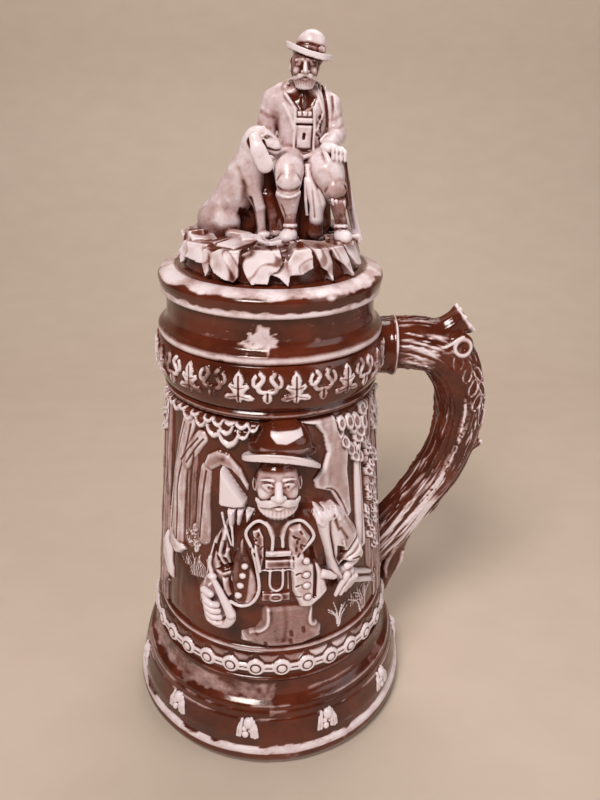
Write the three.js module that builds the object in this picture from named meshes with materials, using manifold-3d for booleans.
// Lidded ceramic beer stein with a moulded hunter, a tree-branch handle and a figure group on the lid.
// Units are millimetres and +Z is up. The origin is on the mug's axis, in the plane it stands on.
// The handle leaves the mug along +X, and the moulded hunter faces about -Y.
import * as THREE from "three";
import { mergeVertices } from "three/addons/utils/BufferGeometryUtils.js";
import Module from "manifold-3d";

const wasm = await Module();
wasm.setup();

// ---- driving dimensions ----
const RIM_Z = 236; // height of the mug's drinking rim
const GAP = 0.35; // clearance between castings that are joined with slip, and under the resting lid
const FOOT_R = 76.5; // largest radius of the foot
const CHAIN_R = 65; // band of linked rings above the foot
const PANEL_FOOT_R = 60.2; // picture panel at its lower edge
const PANEL_FOOT_Z = 67;
const PANEL_TOP_R = 49.6; // picture panel at its upper edge
const PANEL_TOP_Z = 183;
const LEAF_BAND_R = 55.5; // bulging band of leaves
const NECK_R = 49; // plain neck under the rim
const BORE_R = 44; // inside of the mouth
const FLOOR_Z = 7; // thickness of the mug's floor
const AROUND = 44; // facets around the turned parts

const LID_R = 52.2; // widest radius of the lid plate
const LID_SEAT_Z = RIM_Z + GAP; // underside of the lid plate
const LID_TOP_Z = 245.7; // flat seat for the rocks
const FLANGE_R = 42.5; // ring that centres the lid in the mouth
const FLANGE_BORE_R = 37.5;
const FLANGE_Z = 228;
const MOUND_Z = LID_TOP_Z + GAP;
const MOUND_R = 42.5;
const MOUND_TOP_Z = 259;

const COLLAR_R = 15; // socket that the branch grows out of
const COLLAR_END_X = 60.8;
const COLLAR_Z = 204.5;
const BRANCH_HALF_DEEP = 12.2; // in the plane of the handle
const BRANCH_HALF_WIDE = 9.8; // across it
const BRANCH_START_X = COLLAR_END_X + GAP;
const RELIEF_TURN = THREE.MathUtils.degToRad(5); // the moulded hunter's centre, turned from -Y towards +X

// ---- finishes ----
const brownGlaze = { color: 0x5a2a20, roughness: 0.25, metalness: 0 };
const wipedGlaze = { color: 0xd9bdb6, roughness: 0.35, metalness: 0 };

// ---- solids ----
// One shared vertex at each place, as a solid needs.
function weld(geometry) {
  const bare = geometry.index ? geometry.toNonIndexed() : geometry.clone();
  bare.deleteAttribute("normal");
  bare.deleteAttribute("uv");
  return mergeVertices(bare, 1e-4);
}

function toSolid(geometry) {
  const merged = weld(geometry);
  const kept = [];
  const index = merged.index.array;
  for (let i = 0; i < index.length; i += 3) {
    const [a, b, c] = [index[i], index[i + 1], index[i + 2]];
    if (a !== b && b !== c && c !== a) kept.push(a, b, c);
  }
  const vertProperties = new Float32Array(merged.attributes.position.array);
  return new wasm.Manifold(new wasm.Mesh({ numProp: 3, vertProperties, triVerts: new Uint32Array(kept) }));
}

function toGeometry(solid) {
  const mesh = solid.getMesh();
  const geometry = new THREE.BufferGeometry();
  geometry.setAttribute("position", new THREE.BufferAttribute(new Float32Array(mesh.vertProperties), 3));
  geometry.setIndex(new THREE.BufferAttribute(new Uint32Array(mesh.triVerts), 1));
  geometry.computeVertexNormals();
  return geometry;
}

function join(solids) {
  return solids.reduce((whole, next) => whole.add(next));
}

// A turned solid about Z from [radius, height] points that start and end on the axis or close on themselves.
function turned(points, around = AROUND) {
  const profile = points.map(([r, z]) => new THREE.Vector2(r, z));
  return new THREE.LatheGeometry(profile, around).rotateX(Math.PI / 2);
}

function ball(x, y, z, rx, ry, rz, turn = [0, 0, 0], around = 10) {
  const geometry = new THREE.SphereGeometry(1, around, Math.round(around * 0.6)).scale(rx, ry, rz);
  geometry.rotateX(turn[0]).rotateY(turn[1]).rotateZ(turn[2]);
  return toSolid(geometry.translate(x, y, z));
}

// A limb from point a to point b, with a round end of its own radius at each.
function limb(a, b, ra, rb, around = 8) {
  const from = new THREE.Vector3(...a);
  const along = new THREE.Vector3(...b).sub(from);
  const length = along.length();
  const points = [];
  const quarter = 2; // steps in each round end
  for (let i = 0; i <= quarter; i += 1) {
    const t = (i / quarter) * (Math.PI / 2);
    points.push(new THREE.Vector2(ra * Math.sin(t), -ra * Math.cos(t)));
  }
  for (let i = quarter; i >= 0; i -= 1) {
    const t = (i / quarter) * (Math.PI / 2);
    points.push(new THREE.Vector2(rb * Math.sin(t), length + rb * Math.cos(t)));
  }
  const geometry = new THREE.LatheGeometry(points, around);
  const turn = new THREE.Quaternion().setFromUnitVectors(new THREE.Vector3(0, 1, 0), along.normalize());
  return toSolid(geometry.applyQuaternion(turn).translate(from.x, from.y, from.z));
}

// ---- mug ----
// Outside of the mug, from the centre of its base up to the rim.
const outside = [
  [0, 0],
  [71, 0],
  [74.6, 1.4],
  [FOOT_R, 5],
  [FOOT_R, 8],
  [75.3, 11],
  [74.6, 14.5],
  [73.5, 21],
  [72, 27.5],
  [70.2, 32.5],
  [68, 35.6],
  [65.6, 39.5],
  [64.2, 44],
  [63.8, 48.4],
  [CHAIN_R, 49.6],
  [CHAIN_R + 0.4, 56.5],
  [CHAIN_R - 0.6, 63],
  [61.4, 65],
  [PANEL_FOOT_R, PANEL_FOOT_Z],
  [PANEL_TOP_R, PANEL_TOP_Z],
  [51.9, 186.6],
  [51.9, 190],
  [53.4, 192.6],
  [55, 197],
  [LEAF_BAND_R, 202],
  [54.9, 207.5],
  [53.2, 212.5],
  [53, 217],
  [50.6, 219.6],
  [NECK_R, 222],
  [NECK_R - 0.4, 229],
  [NECK_R, RIM_Z - 1],
  [NECK_R - 1, RIM_Z],
];

// Inside of the mug, from the rim down to the middle of its floor: slip-cast, so it follows the outside.
const inside = [
  [BORE_R + 1, RIM_Z],
  [BORE_R, RIM_Z - 1.5],
  [BORE_R, PANEL_TOP_Z],
  [54.2, 68],
  [57.6, 62],
  [58, 48],
  [61, 36],
  [65.6, 26],
  [66.6, 13],
  [62, FLOOR_Z],
  [0, FLOOR_Z],
];

const mugShell = toSolid(turned([...outside, ...inside]));

// The mug's outer form grown by the joining gap, which trims what is stuck onto it.
function mugEnvelope() {
  const grown = outside.map(([r, z]) => [r > 0 ? r + GAP : 0, z]);
  return toSolid(turned([...grown, [0, RIM_Z]]));
}

// Radius of the picture panel at a height.
function panelRadius(z) {
  const t = (z - PANEL_FOOT_Z) / (PANEL_TOP_Z - PANEL_FOOT_Z);
  return PANEL_FOOT_R + (PANEL_TOP_R - PANEL_FOOT_R) * t;
}

// A rounded form of the moulded picture: u along the wall to the right of its centre, z up, out of the wall.
function raised(u, z, out, halfWide, halfHigh, halfDeep, tilt = 0) {
  const radius = panelRadius(z);
  const angle = u / radius + RELIEF_TURN;
  const form = new THREE.SphereGeometry(1, 10, 7).scale(halfWide, halfDeep, halfHigh).rotateY(tilt);
  form.translate(0, -(radius + out), z).rotateZ(angle);
  return toSolid(form);
}

// The moulded hunter, kept to its main masses.
const mouldedHunter = [
  raised(0, 138, -1.5, 36, 13, 7), // shoulders
  raised(0, 116, -1.5, 27, 32, 7), // trunk
  raised(0, 181, 3.5, 13, 9, 8), // hat crown
  raised(0, 172, 4, 23, 4, 9.5), // hat brim
  raised(0, 157, 3.5, 12.5, 16, 8.5), // head
  raised(-16, 122, 1, 13, 28, 7.5, 0.12), // coat front, his right
  raised(14, 122, 1, 12, 28, 7.5, -0.12), // coat front, his left
  raised(-28, 128, 0, 8, 17, 8, -0.15), // sleeve, his right
  raised(-34, 92, 1.5, 7, 12, 7.5, 0.3), // fist on the pipe
  raised(33, 134, 0, 9, 18, 8.5, 0.35), // upper arm, his left
  raised(36, 108, 1, 9, 10, 7.5, -0.5), // forearm, his left
  raised(0, 82, -1, 26, 14, 6), // trousers
];

// The middle of the wall: the moulded forms reach in this far and no further.
const wallCore = toSolid(
  turned([
    [0, 50],
    [panelRadius(50) - 3, 50],
    [panelRadius(205) - 3, 205],
    [0, 205],
  ]),
);
const mugBody = mugShell.add(join(mouldedHunter).subtract(wallCore));

// ---- handle ----
const collarGeometry = turned(
  [
    [0, 40],
    [COLLAR_R - 1, 40],
    [COLLAR_R - 0.4, 54],
    [COLLAR_R, 58.6],
    [COLLAR_R - 0.7, COLLAR_END_X],
    [0, COLLAR_END_X],
  ],
  28,
).rotateY(Math.PI / 2);
const handleCollar = toSolid(collarGeometry.translate(0, 0, COLLAR_Z)).subtract(mugEnvelope());

// Centreline of the branch in the XZ plane, from the collar, over the finger gap and back to the wall.
const branchLine = new THREE.CatmullRomCurve3(
  [
    [BRANCH_START_X, 205.5],
    [72, 205.4],
    [83.5, 202],
    [92, 192],
    [96.8, 176],
    [97.2, 159],
    [93, 141],
    [84.5, 124],
    [73.5, 107],
    [62, 91],
    [52, 79],
  ].map(([x, z]) => new THREE.Vector3(x, 0, z)),
);

function branchSection(around = 16) {
  const points = [];
  for (let i = 0; i < around; i += 1) {
    const t = (i / around) * 2 * Math.PI;
    points.push(new THREE.Vector2(BRANCH_HALF_DEEP * Math.cos(t), BRANCH_HALF_WIDE * Math.sin(t)));
  }
  return new THREE.Shape(points);
}

const branchTube = new THREE.ExtrudeGeometry(branchSection(), { steps: 26, extrudePath: branchLine });
const collarFace = toSolid(new THREE.BoxGeometry(20, 60, 60).translate(BRANCH_START_X - 10, 0, 205));
const sawnStump = limb([79, 0, 208], [91, 0, 217.5], 8.6, 8, 12);
const knot = ball(91.5, -7.6, 207.5, 6.4, 3.4, 6.4);
const twigStub = limb([103, 0, 146], [110, -1, 150], 4, 2.6);
const rootTip = limb([70, 0, 92], [66.5, 0, 58], 7.5, 3, 10);
const handleBranch = join([toSolid(branchTube), sawnStump, knot, twigStub, rootTip])
  .subtract(collarFace)
  .subtract(mugEnvelope());

// ---- lid ----
const lidPlate = toSolid(
  turned([
    [FLANGE_BORE_R, FLANGE_Z],
    [FLANGE_R - 0.8, FLANGE_Z],
    [FLANGE_R, FLANGE_Z + 1.2],
    [FLANGE_R, LID_SEAT_Z],
    [50.2, LID_SEAT_Z],
    [51.6, 237.4],
    [LID_R, 239.4],
    [51.8, 241.2],
    [50, 242.8],
    [45.6, 245.2],
    [43.9, LID_TOP_Z],
    [36, LID_TOP_Z],
    [36, 241.5],
    [FLANGE_BORE_R, 240],
    [FLANGE_BORE_R, FLANGE_Z],
  ]),
);

// A repeatable unevenness between -1 and 1, so that the rocks look broken.
function uneven(a, b) {
  const s = Math.sin(a * 12.9898 + b * 78.233) * 43758.5453;
  return 2 * (s - Math.floor(s)) - 1;
}

// The hollow mound of rocks that the figures sit on. It grows by the joining gap to trim them.
function mound(grow) {
  const profile = [
    [0, MOUND_Z],
    [MOUND_R, MOUND_Z],
    [MOUND_R, MOUND_Z + 3],
    [39.5, 252.5],
    [34.5, 256.5],
    [25, 258.2],
    [12, MOUND_TOP_Z],
    [0, MOUND_TOP_Z],
  ];
  const shape = weld(turned(profile, 22));
  const place = shape.attributes.position;
  for (let i = 0; i < place.count; i += 1) {
    const [x, y, z] = [place.getX(i), place.getY(i), place.getZ(i)];
    const radius = Math.hypot(x, y);
    const rocky = radius > 20 && z > MOUND_Z + 1 ? 1 : 0;
    const turn = (Math.round((Math.atan2(y, x) / (2 * Math.PI)) * 22) + 22) % 22;
    const swell = 1 + (rocky * 1.6 * uneven(turn + 0.5, Math.round(z)) + grow) / Math.max(radius, 20);
    place.setXYZ(i, x * swell, y * swell, z + (z > MOUND_Z + 1 ? grow + rocky * uneven(turn, Math.round(z)) : -grow));
  }
  const seat = new THREE.DodecahedronGeometry(1, 0).scale(15.5 + grow, 12.5 + grow, 17 + grow);
  seat.rotateZ(0.4).translate(15, 7, 265.5);
  const whole = toSolid(shape).add(toSolid(seat));
  return whole.subtract(toSolid(new THREE.BoxGeometry(120, 120, 20).translate(0, 0, MOUND_Z - 10 - grow)));
}

const moundHollow = toSolid(
  turned(
    [
      [0, MOUND_Z - 1],
      [35, MOUND_Z - 1],
      [34, 249],
      [28, 252],
      [0, 253.5],
    ],
    22,
  ),
);
const rockMound = mound(0).subtract(moundHollow);

// ---- seated hunter ----
// Every radius grows with grow, so the same figure also trims its neighbour.
function hunter(grow) {
  const g = grow;
  const limbs = [
    limb([14.5, 7, 290], [15, 6, 312], 11.5 + g, 11.5 + g, 12), // trunk
    ball(14.6, 6.5, 311, 17.5 + g, 9 + g, 7.5 + g), // shoulders
    limb([-2, 7, 311.5], [-4.2, 4, 300], 6 + g, 5 + g), // upper arm, his right
    limb([-4.2, 4, 300], [-1.5, -5, 292], 5 + g, 4.4 + g), // forearm, his right
    limb([31, 7, 310.5], [34.5, 5, 299], 6 + g, 5 + g), // upper arm, his left
    limb([34.5, 4, 299], [29.5, -10, 294], 5 + g, 4.6 + g), // forearm, his left
    ball(27.5, -12, 292.8, 5.4 + g, 4.6 + g, 3.4 + g), // hand on his knee
    limb([8.5, 4, 287], [7.6, -13, 286], 8.5 + g, 7.4 + g), // thigh, his right
    limb([21.5, 4, 287], [27, -13, 286], 8.5 + g, 7.6 + g), // thigh, his left
    limb([7.6, -14, 284.5], [8.6, -17, 268], 6.4 + g, 4 + g), // shin, his right
    limb([28.4, -14, 283], [30.4, -17, 268], 6.4 + g, 4 + g), // shin, his left
    ball(8.4, -20.5, 263.4, 4.8 + g, 7 + g, 3.8 + g), // shoe, his right
    ball(30.8, -20.5, 263.2, 4.8 + g, 7 + g, 3.8 + g), // shoe, his left
    ball(15.2, 2, 326.5, 7 + g, 7.8 + g, 9 + g), // head
    ball(16, 3.4, 333.2, 10.8 + g, 10.4 + g, 2.6 + g, [0.1, 0.26, 0], 14), // hat brim
    ball(16.8, 4, 335.6, 7 + g, 6.8 + g, 6.2 + g, [0.1, 0.26, 0]), // hat crown
    limb([14.5, 6, 318], [15, 4, 322], 5 + g, 4.6 + g), // neck
    limb([17.6, -10, 281], [18.4, -12, 266], 3.4 + g, 3.6 + g), // game pouch hanging between his knees
    limb([33.5, 2, 286], [35.8, -6, 262.5], 3.4 + g, 2.6 + g), // coat tail over the rock
  ];
  return join(limbs);
}
const seatedHunter = hunter(0).subtract(mound(GAP));

// ---- dog ----
const dogLimbs = [
  limb([-22, 0, 271], [-9, -4, 284], 10.5, 8.4, 12), // back and ribs
  limb([-24, 0, 267], [-25.5, -1, 266], 9.6, 8.6, 12), // rump
  limb([-9, -5, 285], [-7.5, -8, 297], 7, 5, 10), // neck
  ball(-5.6, -9.6, 299.4, 6.4, 5, 5.4), // skull
  limb([-3, -10, 298.6], [3, -10.6, 296.4], 4, 3), // muzzle
  limb([-6.8, -14.3, 299], [-3.4, -15, 287.5], 2.4, 3), // ear on the near side
  limb([-6.6, -4, 299], [-4, -3.4, 288], 2.2, 2.8), // ear on the far side
  ball(-19, -8, 267, 8, 5.4, 7), // haunch on the near side
  ball(-19, 7, 267, 8, 5.4, 7), // haunch on the far side
  limb([-17, -11, 261.5], [-8, -13, 261], 3, 2.6), // hind foot on the near side
  limb([-6, -9, 282], [-2.6, -11.5, 263], 4.4, 2.7), // foreleg on the near side
  limb([-6, 0, 282], [-1.6, -2.6, 263], 4.4, 2.7), // foreleg on the far side
  limb([-31, 1, 263], [-35.5, 8, 259.5], 3.2, 2), // tail
];
const dog = join(dogLimbs).subtract(mound(GAP)).subtract(hunter(GAP));

// ---- assembly ----
const stein = new THREE.Group();

function addPart(parent, name, solid, finish) {
  const mesh = new THREE.Mesh(toGeometry(solid), new THREE.MeshStandardMaterial(finish));
  mesh.name = name;
  parent.add(mesh);
}

const mug = new THREE.Group();
addPart(mug, "mug_body", mugBody, brownGlaze);
addPart(mug, "handle_collar", handleCollar, brownGlaze);
addPart(mug, "handle_branch", handleBranch, brownGlaze);
stein.add(mug);

const lid = new THREE.Group();
addPart(lid, "lid_plate", lidPlate, wipedGlaze);
addPart(lid, "rock_mound", rockMound, wipedGlaze);
addPart(lid, "seated_hunter", seatedHunter, wipedGlaze);
addPart(lid, "dog", dog, wipedGlaze);
stein.add(lid);

export default stein;
